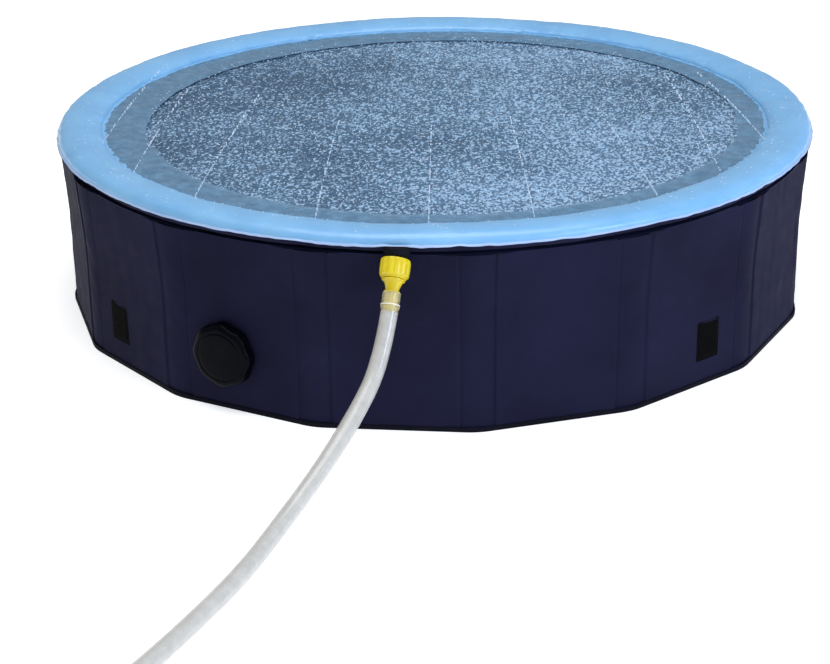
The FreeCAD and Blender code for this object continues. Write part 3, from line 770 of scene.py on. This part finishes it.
def ring_film(name, rows, side, materials):
    """One film as a closed thin sheet. side is 1 for the upper one, -1 for the lower."""
    angle = circle(RING_STEPS)[None]
    radius, rise, across, seam, flange = (rows[:, i][:, None] for i in range(5))
    inner, outer = ring_shift(angle)
    radius = radius + inner * (1 - across) / 2 + outer * (1 + across) / 2
    full = 1 + 0.035 * ripple(55, angle, 0.0, 8, 3, 17)
    height = SEAM_Z + side * (FILM + 0.02 * MM + rise * full)
    near = np.exp(-seam / (8 * MM))
    gather = ripple(56, angle, seam * 900, 12, 70, 190, 0.25)
    inside_edge = across < 0
    height = height + near * np.where(inside_edge, 0.55, 0.4) * MM * gather
    dent = np.clip(ripple(57, angle, seam * 60, 9, 24, 70, 2.0), -1.6, 1.6)
    height = height + 0.35 * MM * dent * np.exp(-seam / (20 * MM)) * (seam > 0)
    hang = np.where(inside_edge, 0.6, 3.0) * MM * flange ** 1.3
    hang = hang * (1 + 0.25 * ripple(58, angle, 0.0, 8, 8, 50))
    height = height - np.clip(hang, 0, 7 * MM) - 1.2 * MM * near * (~inside_edge)
    height = np.clip(height, RING_BOTTOM, RING_TOP + 0.8 * MM)

    along_radius, along_height = np.gradient(radius, axis=0), np.gradient(height, axis=0)
    size = np.hypot(along_radius, along_height)
    back_radius = radius - FILM * side * along_height / size
    back_height = height + FILM * side * along_radius / size
    radius = np.concatenate([radius, back_radius[::-1]])
    height = np.concatenate([height, back_height[::-1]])
    points = polar(radius, angle, height)
    weld = (rows[:, 4] > 0) & (rows[:, 2] > 0)
    weld = weld[:-1] & weld[1:]
    marked = np.zeros(len(points), bool)
    marked[:len(weld)] = weld
    return surface(name, points, materials, sharp=70.0, rows_of={len(materials) - 1: marked})


def build_ring():
    """The blue upper film, and the navy one under it."""
    rows = ring_film_rows(RING_TOP - SEAM_Z - 2 * FILM, 2.15, 2.1, 42, 0.22)
    upper = ring_film("spray_ring_upper_film", rows, 1, [RING, RING_WELD])
    piece(upper, replaces=["ring_top_film"])
    rows = ring_film_rows(SEAM_Z - FILM - RING_BOTTOM, 3.0, 2.4, 26)
    lower = ring_film("spray_ring_lower_film", rows, -1, [WALL])
    piece(lower, replaces=["ring_bottom_film"])
    return upper


def build_pinholes(ring):
    """Small rimmed spray holes punched round the ring's inner slope."""
    bpy.context.view_layer.update()
    outline = softened([(0.0, -0.15), (0.35, -0.15), (0.6, 0.35), (1.0, 0.45), (1.9, 0.0),
                        (0.0, -0.3)], 0.2, 2)
    parts = []
    for number in range(SPRAY_HOLES):
        angle = (number + 0.5) * TURN / SPRAY_HOLES
        hit, spot, normal, _ = ring.ray_cast(spot_at(SPRAY_CIRCLE, angle, OVER_RING), DOWN)
        if hit:
            tilt = UP.rotation_difference(normal).to_matrix().to_4x4()
            parts.append(Matrix.Translation(spot) @ tilt)
    angle = circle(12)
    points = polar(outline[:, :1], angle, outline[:, 1:]) * MM
    faces = grid_faces(*points.shape[:2], True, True).reshape(-1, 4).tolist()
    holes = many("spray_pinholes", points.reshape(-1, 3), faces, parts, [RING_WELD])
    piece(holes)


def apron_edge(angle):
    """The film's free inner edge: a little off centre and wavy."""
    drift = 14 * MM * np.cos(angle) - 8 * MM * np.sin(angle)
    wave = 1.5 * ripple(61, angle, 0.0, 8, 3, 14) + 0.5 * ripple(62, angle, 0.0, 8, 20, 60)
    return APRON_INNER + 3 * MM + drift + wave * MM


def build_apron():
    """Clear film welded under the ring's inner seam, creased where it gathers."""
    angle = circle(RING_STEPS)[None]
    share = np.linspace(0, 1, 22)[:, None]
    inner = apron_edge(angle)
    outer = APRON_OUTER - 1 * MM
    radius = inner + (outer - inner) * share
    shape = np.clip(ripple(63, angle, share * 3, 14, 60, 200, 1.2) / 1.5, -1.2, 1.2)
    broad = np.clip(ripple(64, angle, share * 2, 9, 8, 40, 1.5) / 1.5, -1.2, 1.2)
    loose = ease(share / 0.2) * ease((1 - share) / 0.12)
    lift = (0.45 * MM * (1.2 + shape) * (0.35 + 0.65 * share) + 0.8 * MM * (1.2 + broad)) * loose
    lift = lift + 0.5 * MM * (1.2 + broad) * (1 - share)
    low, top = (polar(radius, angle, APRON_Z + lift + thick) for thick in (0, 0.35 * MM))
    film = surface("splash_apron_film", np.concatenate([low, top[::-1]]), [FILM_CLEAR], sharp=70.0)
    piece(film, replaces=["splash_apron"])


# ---- drain

LOBES = 8
CAP_PITCH = 4.0


def scallop(angle, count, depth, power=2.2):
    """How far a lobed rim is cut in at an angle: deepest half way between lobes."""
    return depth * np.abs(np.sin(count * angle / 2)) ** power


def threaded(radius, station, angle, bore, low, high, depth, pitch):
    """A helical groove in a round wall, fading out at both ends."""
    on_wall = np.abs(radius - bore) < 0.02
    fade = ease((station - low) / pitch) * ease((high - station) / pitch)
    wave = 0.5 + 0.5 * np.cos(TURN * station / pitch - angle)
    return radius + np.where(on_wall, depth * fade * wave ** 1.5, 0.0)


def dense(a, b, steps):
    """Extra stations along a straight wall, both ends included."""
    return [(a[0] + (b[0] - a[0]) * t, a[1] + (b[1] - a[1]) * t) for t in np.linspace(0, 1, steps)]


def build_drain():
    """Flange with its threaded tube, lock nut inside, and the lobed screw cap."""
    place = drain_place()
    tube, bore, plate = 33.0, 28.0, 45.0
    tube_in, tube_out = -13.0, 17.2
    plate_back, plate_top = 2.6, 5.6

    def flange_shape(radius, station, angle):
        outside = threaded(radius, station, angle, tube, plate_top + 0.5, tube_out - 0.5, -0.9,
                           CAP_PITCH)
        return threaded(outside, station, angle, tube, tube_in + 0.5, -4.0, -0.9, CAP_PITCH)

    extra_low = dense((tube, tube_in + 0.6), (tube, -4.2), 30)
    extra_high = dense((tube, plate_top + 0.6), (tube, tube_out - 0.6), 36)
    outline = np.array([
        (bore, tube_in), (bore + 0.5, tube_in), *extra_low, (tube, plate_back - 0.1),
        (plate - 0.5, plate_back), (plate, plate_back + 0.5), (plate, plate_top - 0.8),
        (plate - 0.35, plate_top - 0.25), (plate - 1.0, plate_top), (tube + 1.0, plate_top),
        (tube + 0.3, plate_top + 0.2), *extra_high, (tube - 0.5, tube_out), (bore + 0.5, tube_out),
        (bore, tube_out - 0.5), *dense((bore, tube_out - 1), (bore, tube_in + 0.5), 8)])
    flange = lathe("drain_flange_moulding", place, outline, [CAP], around=144, shape=flange_shape)
    piece(flange, replaces=["drain_flange"])

    nut_in, nut_out, nut_bore, nut_rim = -11.6, -4.6, 33.06, 46.0

    def nut_shape(radius, station, angle):
        wave = scallop(angle + math.pi / LOBES, LOBES, 3.0, 4.0)
        return np.where(radius > 40, radius - wave, radius)

    outline = softened([(nut_bore, nut_in), (36, nut_in), (36.4, nut_in + 1.5), (42, nut_in + 1.5),
                        (42.4, nut_in), (nut_rim, nut_in), (nut_rim, nut_out), (nut_bore, nut_out)],
                       0.7)
    nut = lathe("drain_lock_nut_moulding", place, outline, [CAP], around=192, shape=nut_shape)
    piece(nut, replaces=["drain_lock_nut"])
    for node in ("drain_gasket", "drain_cap_seal"):
        repaint(node, RUBBER)

    cap_bore, skirt = 33.06, 6.2

    def cap_shape(radius, station, angle):
        grip = ease((radius - 37) / 9) * (1 - 0.45 * ease((station - 18) / 7))
        cut = scallop(angle, LOBES, 2.6, 2.6) * grip
        ribbed = (radius > 48.6) & (station > 8.5) & (station < 15.5)
        radius = radius - cut - 0.16 * np.clip(np.cos(angle * 96), 0, 1) * ribbed
        return threaded(radius, station, angle, cap_bore, skirt + 1, 18.6, 0.9, CAP_PITCH)

    outline = np.array([
        (0, 19.2), (20, 19.2), (cap_bore - 0.4, 19.2),
        *dense((cap_bore, 18.8), (cap_bore, skirt + 0.4), 36), (cap_bore + 0.4, skirt),
        (35.6, skirt), (36, skirt + 0.4), (36, 12), (36, 19.1), (36.4, 19.5), (45, 19.5),
        (45.4, 19.1), (45.4, 12), (45.4, skirt + 0.5), (45.8, skirt), (48.3, skirt),
        (48.8, skirt + 0.2), (49, skirt + 0.8), (49, 8.4), (49, 8.6), (49, 12), (49, 15.4),
        (49, 15.6), (48.9, 17.5), (48.4, 19.4), (47.4, 21.2), (45.8, 22.8), (43.6, 24.0),
        (41, 24.8), (38.5, 25.2), (37.4, 25.25), (36.9, 25.0), (36.3, 24.7), (35.7, 25.0),
        (35.1, 25.4), (33, 25.8), (28, 26.4), (22, 26.8), (15, 27.0), (8, 27.0), (3, 27.0),
        (0, 27.0)])
    cap = lathe("drain_cap_lobed", place, outline, [CAP], around=288, shape=cap_shape, sharp=45.0)
    piece(cap, "drain_cap", ["drain_cap"])


# ---- couplings

NUT_FLUTES = 12
HOSE_THREAD = 2.2
JOINT_STATION = 22 * MM


def station_place(joint_name, towards):
    """A coupling's own frame: stations run along Z from its root. The joint sits
    at JOINT_STATION, and towards says if its axis runs with the stations or against."""
    turn = joint(joint_name)
    axis = Vector(turn["axis"]) * towards
    place = UP.rotation_difference(axis).to_matrix().to_4x4()
    place.translation = Vector(turn["pos_m"]) - axis * JOINT_STATION
    return place


def build_coupling(prefix, joint_name, towards):
    """Fluted union nut, hose tail with barbs, and the clear sleeve over them."""
    place = station_place(joint_name, towards)
    bore = 13.25

    def nut_shape(radius, station, angle):
        height = ease((station - 10.2) / 2.0) * ease((34.3 - station) / 3.6)
        groove = np.abs(np.cos(NUT_FLUTES * angle / 2)) ** 0.9
        cut = 1.2 * (1 - groove) * height * (radius > 18)
        return threaded(radius - cut, station, angle, bore, 10.5, 27.6, 0.75, HOSE_THREAD)

    outline = np.array([
        (bore, 10.0), (bore + 0.5, 9.5), (18.2, 9.5), (19.2, 9.8), (20.0, 10.6), (20.5, 11.6),
        (20.8, 13.0), (20.95, 16), (21.0, 19), (21.0, 22), (20.9, 25), (20.8, 28), (20.6, 30.5),
        (20.3, 32.2), (19.9, 33.4), (19.3, 34.1), (18.6, 34.5), (17.9, 34.6), (17.5, 34.9),
        (17.5, 36.5), (17.2, 36.9), (16.8, 37.0), (10.8, 37.0), (10.3, 36.6), (10.3, 33.6),
        (14.0, 33.5), (14.0, 31), (14.0, 28.2), *dense((bore, 27.9), (bore, 10.3), 50)])
    nut = lathe(f"{prefix}_nut_fluted", place, outline, [YELLOW], around=224, shape=nut_shape)
    piece(nut, f"{prefix}_nut", [f"{prefix}_nut"])

    tail_bore, stem = 6.5, 8.2
    outline = [(tail_bore, 30.5), (12.9, 30.5), (12.9, 33.0), (10, 33.0), (10, 37.6), (16, 37.6),
               (16, 40.0), (14.6, 40.0), (13.2, 41.6), (12.1, 43.6), (11.1, 46), (10.2, 48.6),
               (9.5, 51.2), (8.9, 54), (8.8, 54.8), (11.5, 54.8), (11.5, 56.0), (stem, 56.0),
               (stem, 58)]
    for foot in (58, 64, 70, 76):
        outline += [(9.45, foot + 0.1), (stem, foot + 6)]
    outline += [(stem, 83.0), (tail_bore, 83.0)]
    tail = lathe(f"{prefix}_tail_barbed", place, softened(outline, 0.35, 2), [YELLOW], around=96)
    piece(tail, replaces=[f"{prefix}_tail"])

    def sleeve_shape(radius, station, angle):
        ribbed = (radius > 11.5) * ease((station - 58.5) / 1.5) * ease((69 - station) / 2)
        return radius + 0.22 * np.clip(np.cos(angle * 18), 0, 1) * ribbed

    outline = np.array([
        (9.65, 56.4), (10.0, 56.05), (12.0, 56.05), (12.5, 56.4), (12.7, 57.2),
        *dense((12.6, 58), (12.3, 70), 9), (12.4, 71.2), (13.0, 71.8), (13.3, 72.6), (13.3, 73.2),
        (13.3, 74.8), (13.3, 77.6), (13.0, 78.6), (12.5, 79.2), (12.2, 80), (12.1, 82),
        (12.0, 83.5), (11.7, 83.9), (10.0, 83.9), (9.65, 83.6), *dense((9.65, 82), (9.65, 58), 10)])
    # Painted highlight: the stations from 73 to 74.9 get the opaque cream ring that stands for
    # light on the sleeve
    sleeve = lathe(f"{prefix}_sleeve_clear", place, outline, [SLEEVE, SLEEVE_PAINTED_HIGHLIGHT], around=108,
                   shape=sleeve_shape, band=(73.0, 74.9))
    piece(sleeve, replaces=[f"{prefix}_sleeve"])
    repaint(f"{prefix}_washer", RUBBER)
    return [nut, tail, sleeve, nodes[f"{prefix}_washer"]]


# ---- hose

def hose_points():
    """The hose's route, and the coil's centre. The coil's turns are wound
    anticlockwise from the run's end, and climb a hose's width each turn."""
    root = station_place("inlet_nut_turn", 1)
    leaving = root @ Vector((0, 0, SLEEVE_END))
    run = [leaving] + [Vector(p) for p in HOSE_RUN]
    heading = (run[-1] - run[-2]).normalized()
    left = Vector((-heading.y, heading.x, 0))
    centre = run[-1] + left * COIL_R
    start = math.atan2(-left.y, -left.x)
    step = TURN / COIL_STEPS_PER_TURN
    reach = COIL_R / math.cos(step / 2)
    middle = Vector((centre.x, centre.y, 0))
    points = run[:-1]
    for number in range(COIL_STEPS):
        turns = (number + 0.5) / COIL_STEPS_PER_TURN
        climbs = sum(float(ease((turns - start_climb) / 0.44)) for start_climb in (0.56, 1.56))
        height = HOSE_LAY + HOSE_D * climbs
        angle = start + (number + 0.5) * step
        points.append(middle + spot_at(reach, angle, height))
    end = start + COIL_STEPS * step
    ahead = Vector((-math.sin(end), math.cos(end), 0))
    leave = middle + spot_at(COIL_R, end, 0)
    points += [leave + ahead * on + UP * height for on, height in TAIL_RUN]
    return points, middle, start


def centre_line(points):
    """The smooth line through a route: a NURBS spline, read back as points."""
    data = bpy.data.curves.new("hose_line", "CURVE")
    data.dimensions = "3D"
    data.resolution_u = 8
    spline = data.splines.new("NURBS")
    spline.points.add(len(points) - 1)
    for spot, point in zip(spline.points, points):
        spot.co = (*point, 1)
    spline.order_u = 3
    spline.use_endpoint_u = True
    holder = bpy.data.objects.new("hose_line", data)
    mesh = bpy.data.meshes.new_from_object(holder)
    line = np.array([v.co for v in mesh.vertices], float)
    bpy.data.objects.remove(holder)
    bpy.data.curves.remove(data)
    bpy.data.meshes.remove(mesh)
    return line


def tube_points(line, radius, around):
    """Rings of points along a line, turned as little as possible on the way."""
    ahead = np.gradient(line, axis=0)
    ahead /= np.linalg.norm(ahead, axis=1)[:, None]
    side = np.cross(ahead[0], (0, 0, 1))
    side /= np.linalg.norm(side)
    angle = circle(around)[:, None]
    rings = []
    for spot, forward in zip(line, ahead):
        side = side - forward * side.dot(forward)
        side /= np.linalg.norm(side)
        up = np.cross(side, forward)
        rings.append(spot + radius * (np.cos(angle) * side + np.sin(angle) * up))
    return np.array(rings)


def build_hose(on_inlet):
    """The clear supply hose, its walls and bore, with everything that is on it.
    The bore is painted paler than the outer wall, as painted light down the
    tube's middle.
    """
    points, centre, start = hose_points()
    line = centre_line(points)
    outside = tube_points(line, HOSE_D / 2, 40)
    inside = tube_points(line, HOSE_BORE, 40)
    painted_light_bore_rows = np.arange(2 * len(line)) >= len(line)
    hose = surface("supply_hose", np.concatenate([outside, inside[::-1]]), [HOSE, HOSE_BORE_PAINTED_LIGHT],
                   sharp=60.0, rows_of={1: painted_light_bore_rows})
    piece(hose, replaces=["hose_run", "hose_coil", "hose_tail_run"])
    tie = build_tie(centre, start)
    on_inlet = on_inlet + [nodes["inlet_boot"], nodes["inlet_spigot"]]


def build_tie(centre, start):
    """A hook-and-loop strap round the coil's turns."""
    angle = start + math.radians(66)
    outward, along = np.array(spot_at(1, angle, 0)), np.array(spot_at(1, angle + TURN / 4, 0))
    middle = np.array(centre) + outward * COIL_R
    low, high = 0.4 * MM, 3 * HOSE_D + 0.8 * MM
    loop = rounded(HOSE_LAY + 1.0 * MM, (high - low) / 2, 9 * MM, 8) + (0, (high + low) / 2)
    toward = loop.mean(0) - loop
    toward /= np.linalg.norm(toward, axis=1)[:, None]
    width, thick = 20 * MM, 1.2 * MM
    rows = []
    for across, inset in ((-width / 2, 0), (-width / 2, thick), (width / 2, thick), (width / 2, 0)):
        flat = loop + toward * inset
        rows.append(middle + flat[:, :1] * outward + flat[:, 1:] * np.array(UP) + along * across)
    tie = surface("coil_tie_strap", np.array(rows), [LOOPS], sharp=40.0)
    return piece(tie)


# ---- water

SURFACE_DROPS = 4200
RING_DROPS = 420
JET_BEADS = 70


def build_water(ring):
    """Bath water and its spray, which are in the tub but aren't part of it."""
    angle = circle(240)[None]
    share = np.linspace(0, 1, 60)[:, None]
    radius = share * (RING_INNER + SEAM_WIDTH - 2 * MM)
    chop = 0.5 * MM * ripple(71, angle, share * 40, 10, 0, 30, 2.0) * ease(share * 6)
    points = polar(radius, angle, APRON_Z - 2 * MM + chop)
    pool = surface("bath_water_surface", points, [water()], wrap_rows=False, sharp=180.0)

    white = Paint("spray_white", Roughness=0.25, Alpha=0.8, Base_Color=(0.74, 0.84, 0.94, 1))
    pick = np.random.default_rng(5)
    matrices = []
    for _ in range(SURFACE_DROPS):
        reach = (APRON_INNER + 10 * MM) * math.sqrt(pick.uniform())
        turn = pick.uniform(0, TURN)
        lift = abs(pick.normal(0, 5)) * MM
        size = pick.uniform(0.3, 1.05) * MM
        spin = pick.uniform(0, TURN)
        spot = spot_at(reach, turn, APRON_Z - 1 * MM + lift) + Vector((10 * MM, -6 * MM, 0))
        matrices.append(stretched(spot, (size * pick.uniform(1, 2.4), size, size), spin))
    for bearing in range(202, 364, 18):
        turn = math.radians(bearing + pick.uniform(-2, 2))
        throw = pick.uniform(0.10, 0.14)
        rise = pick.uniform(0.10, 0.14)
        lean = pick.uniform(-0.04, 0.04)
        for step in range(JET_BEADS):
            t = step / JET_BEADS + pick.uniform(-0.006, 0.006)
            if pick.uniform() < 0.12 + 0.5 * t:
                continue
            height = RING_TOP - 5 * MM + rise * t * (1.2 - 0.2 * t)
            size = pick.uniform(0.55, 1.25) * MM
            spot = spot_at(SPRAY_CIRCLE - throw * t, turn + lean * t, height)
            matrices.append(stretched(spot, (size, size, size * 1.8)))
    for _ in range(RING_DROPS):
        turn = pick.uniform(0, TURN)
        reach = pick.uniform(RING_INNER + 12 * MM, RING_OUTER - 12 * MM)
        hit, spot, _, _ = ring.ray_cast(spot_at(reach, turn, OVER_RING), DOWN)
        if hit:
            size = pick.uniform(0.5, 1.5) * MM
            matrices.append(stretched(spot, (size, size, size * 0.45)))
    many("spray_drops", *ball(), matrices, [white.material])


# ---- studio

CAMERA_EYE = Vector((0.3252, -3.2293, 1.2720))
CAMERA_TARGET = Vector((-0.0316, -0.0383, -0.0820))
CAMERA_ROLL = math.radians(-0.86)
CAMERA_LENS = 89.9


def build_studio():
    """Camera, soft lights, a white surround and a pale floor."""
    scene = bpy.context.scene
    scene.view_settings.view_transform = "Standard"
    data = bpy.data.cameras.new("camera")
    data.sensor_width = 36.0
    data.lens = CAMERA_LENS
    data.clip_end = 60.0
    camera = bpy.data.objects.new("camera", data)
    camera.location = CAMERA_EYE
    camera.rotation_mode = "QUATERNION"
    level = (CAMERA_TARGET - CAMERA_EYE).to_track_quat("-Z", "Y")
    camera.rotation_quaternion = level @ Quaternion(UP, CAMERA_ROLL)
    scene.collection.objects.link(camera)
    scene.camera = camera

    world = bpy.data.worlds.new("studio")
    scene.world = world
    world.use_nodes = True
    tree = world.node_tree
    background = tree.nodes["Background"]
    seen = add(tree, "ShaderNodeBackground", {"Color": (1, 1, 1, 1), "Strength": 1.0})
    background.inputs["Color"].default_value = (0.93, 0.96, 1.0, 1)
    background.inputs["Strength"].default_value = 0.36
    ray = add(tree, "ShaderNodeLightPath").outputs["Is Camera Ray"]
    mix = add(tree, "ShaderNodeMixShader", {0: ray, 1: background.outputs[0], 2: seen.outputs[0]})
    tree.links.new(mix.outputs[0], tree.nodes["World Output"].inputs["Surface"])

    for name, place, aim, size, power, colour in (
            ("top_soft", (0.0, -0.4, 3.6), (0, 0, 0.2), 3.2, 94, (1.0, 1.0, 1.0)),
            ("right_soft", (3.2, -2.4, 1.5), (0.3, 0, 0.15), 1.6, 76, (0.62, 0.74, 1.0)),
            ("front_soft", (0.6, -3.6, 2.4), (0, 0, 0.2), 1.4, 10, (1.0, 0.98, 0.95))):
        light = bpy.data.lights.new(name, "AREA")
        light.shape = "DISK"
        light.size = size
        light.energy = power
        light.color = colour
        item = bpy.data.objects.new(name, light)
        item.location = place
        item.rotation_mode = "QUATERNION"
        item.rotation_quaternion = (Vector(aim) - Vector(place)).to_track_quat("-Z", "Y")
        scene.collection.objects.link(item)

    size = 30.0
    corners = [(x * size, y * size, 0) for x, y in ((-1, -1), (1, -1), (1, 1), (-1, 1))]
    floor = made("studio_floor", corners, [[0, 1, 2, 3]], [pale_floor()])
    floor.location.z = -0.3 * MM


build_studio()
on_inlet = build_coupling("inlet", "inlet_nut_turn", 1)
on_tap = build_coupling("tap", "tap_nut_turn", -1)
# Painted shade: the boot under the ring gets dark rubber to stand for the shade it sits in
repaint("inlet_boot", RUBBER)
repaint("inlet_spigot", CREAM)
build_hose(on_inlet)
build_wall()
build_floor()
build_patch("loop", LOOPS)
build_patch("hook", HOOKS)
ring = build_ring()
build_pinholes(ring)
build_apron()
build_drain()
build_water(ring)
